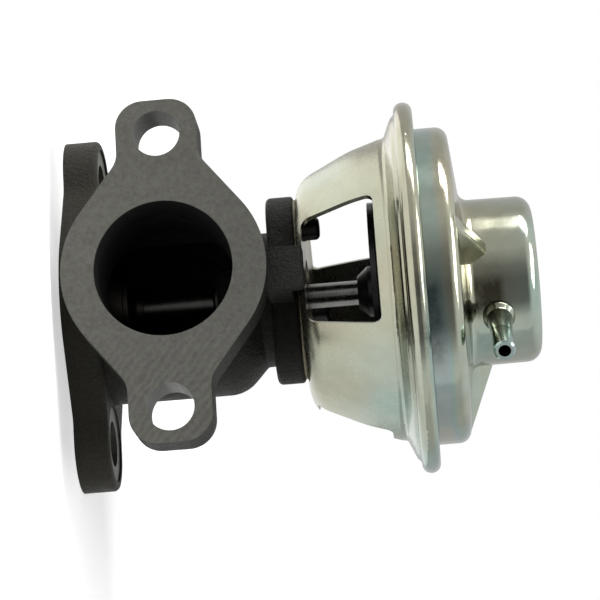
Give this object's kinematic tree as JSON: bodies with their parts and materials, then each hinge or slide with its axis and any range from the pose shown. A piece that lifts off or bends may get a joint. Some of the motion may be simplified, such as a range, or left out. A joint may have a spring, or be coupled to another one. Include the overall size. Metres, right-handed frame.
{
  "type": "exhaust gas recirculation valve",
  "caption": "Vacuum-operated exhaust gas valve: cast elbow with two bolted flanges, poppet on a stem and a plated diaphragm actuator with a side nipple",
  "frame": {"origin": "centre of the base port, on the machined face of the base flange", "axes": "+Z along the valve stem towards the vacuum chamber, -Y out of the front port, X along both pairs of bolt holes; the part stands on its base flange"},
  "size_m": [0.0898, 0.0898, 0.1122],
  "materials": {
    "cast_iron": "sand cast, unpainted, flange faces milled",
    "zinc_plated_steel": "zinc plated, glossy, faint yellow and green cast",
    "bright_steel": "ground",
    "black_steel": "black oxide, satin",
    "seat_steel": "ground, heat stained",
    "rubber": "matt",
    "gasket_sheet": "matt sheet",
    "spring_steel": "drawn wire"
  },
  "bodies": {
    "housing": {"valve_body": "cast_iron", "valve_seat": "seat_steel", "stem_guide": "seat_steel", "stem_seal": "rubber", "seal_cup": "bright_steel", "seal_ring": "spring_steel", "body_gasket": "gasket_sheet", "bracket": "zinc_plated_steel", "bracket_screws": "black_steel", "screw_washers": "black_steel", "diaphragm_cover": "zinc_plated_steel", "vacuum_nipple": "zinc_plated_steel", "diaphragm": "rubber", "spring_seat": "black_steel", "return_spring": "spring_steel"},
    "valve": {"valve_stem": "bright_steel", "valve_head": "seat_steel", "head_nut": "bright_steel", "hub_spacer": "black_steel", "lower_plate": "black_steel", "upper_plate": "black_steel", "stem_washer": "bright_steel", "stem_nut": "bright_steel"}
  },
  "joints": [
    {"name": "valve_lift", "type": "slide", "parent": "housing", "child": "valve", "axis": [0, 0, 1], "range_m": [0, 0.006], "stiffness_N_per_m": 4000, "springref_m": -0.006, "deforming": ["return_spring", "diaphragm"]}
  ]
}
